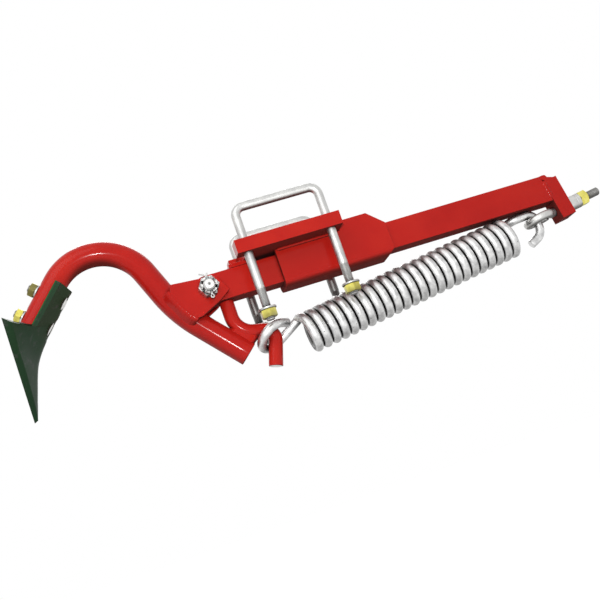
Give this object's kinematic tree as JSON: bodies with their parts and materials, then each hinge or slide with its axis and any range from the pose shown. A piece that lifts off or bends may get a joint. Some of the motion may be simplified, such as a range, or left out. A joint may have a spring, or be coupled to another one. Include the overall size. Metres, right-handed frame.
{
  "type": "spring-trip cultivator tine",
  "caption": "Goose-neck cultivator tine with shovel, spring-loaded on a beam that clamps to a square toolbar with U-bolts.",
  "frame": {"origin": "centre of the clamp plate's top face, where the toolbar sits", "axes": "+X along the beam towards the eye bolt, +Y across towards the pivot bolt's head, +Z out of the clamp plate's top face. In use +X points up and the tine travels towards -Z."},
  "size_m": [0.8287, 0.15, 0.2306],
  "materials": {
    "red": "gloss",
    "green": "satin",
    "zinc": "bright zinc",
    "yellow_zinc": "yellow zinc"
  },
  "bodies": {
    "frame": {"beam": "red", "spacer_strip": "red", "saddle": "red", "clamp_plate": "red", "end_plate": "red", "pivot_bush": "zinc", "eye_bolt": "zinc", "adjuster_collar": "zinc", "adjuster_nut": "yellow_zinc"},
    "tine": {"shank": "red", "lug_near": "red", "lug_far": "red", "lug_welds": "red", "hook_rod": "red", "pivot_bolt": "zinc", "castle_nut": "zinc", "cotter_pin": "zinc", "sweep": "green", "plough_bolts": "zinc", "plough_washers": "zinc", "plough_nuts": "yellow_zinc"},
    "spring": {"spring": "zinc"},
    "spring_hook": {"spring_hook": "zinc"},
    "ubolt_near": {"ubolt_near": "zinc", "ubolt_washers_near": "zinc", "ubolt_nuts_near": "yellow_zinc"},
    "ubolt_far": {"ubolt_far": "zinc", "ubolt_washers_far": "zinc", "ubolt_nuts_far": "yellow_zinc"}
  },
  "joints": [
    {"name": "tine_pivot", "type": "hinge", "parent": "frame", "child": "tine", "pos_m": [-0.117, 0, -0.042], "axis": [0, 1, 0], "range_deg": [0, 28], "stiffness_Nm_per_rad": 880, "springref_deg": -2.86},
    {"name": "spring_swing", "type": "hinge", "parent": "frame", "child": "spring", "pos_m": [0.339, 0, -0.0803], "axis": [0, 1, 0], "range_deg": [-0.65, 0]},
    {"name": "spring_stretch", "type": "slide", "parent": "spring", "child": "spring_hook", "axis": [-0.9923, 0, -0.1238], "range_m": [0, 0.0487], "deforming": ["spring"]},
    {"name": "ubolt_near_slide", "type": "slide", "parent": "frame", "child": "ubolt_near", "axis": [0, 0, 1], "range_m": [-0.0339, 0.0756]},
    {"name": "ubolt_far_slide", "type": "slide", "parent": "frame", "child": "ubolt_far", "axis": [0, 0, 1], "range_m": [-0.0194, 0.0767]}
  ],
  "couplings": [
    {"joint": "spring_swing", "follows": "tine_pivot", "ratio": -0.02284},
    {"joint": "spring_stretch", "follows": "tine_pivot", "m_per_rad": 0.09906}
  ]
}
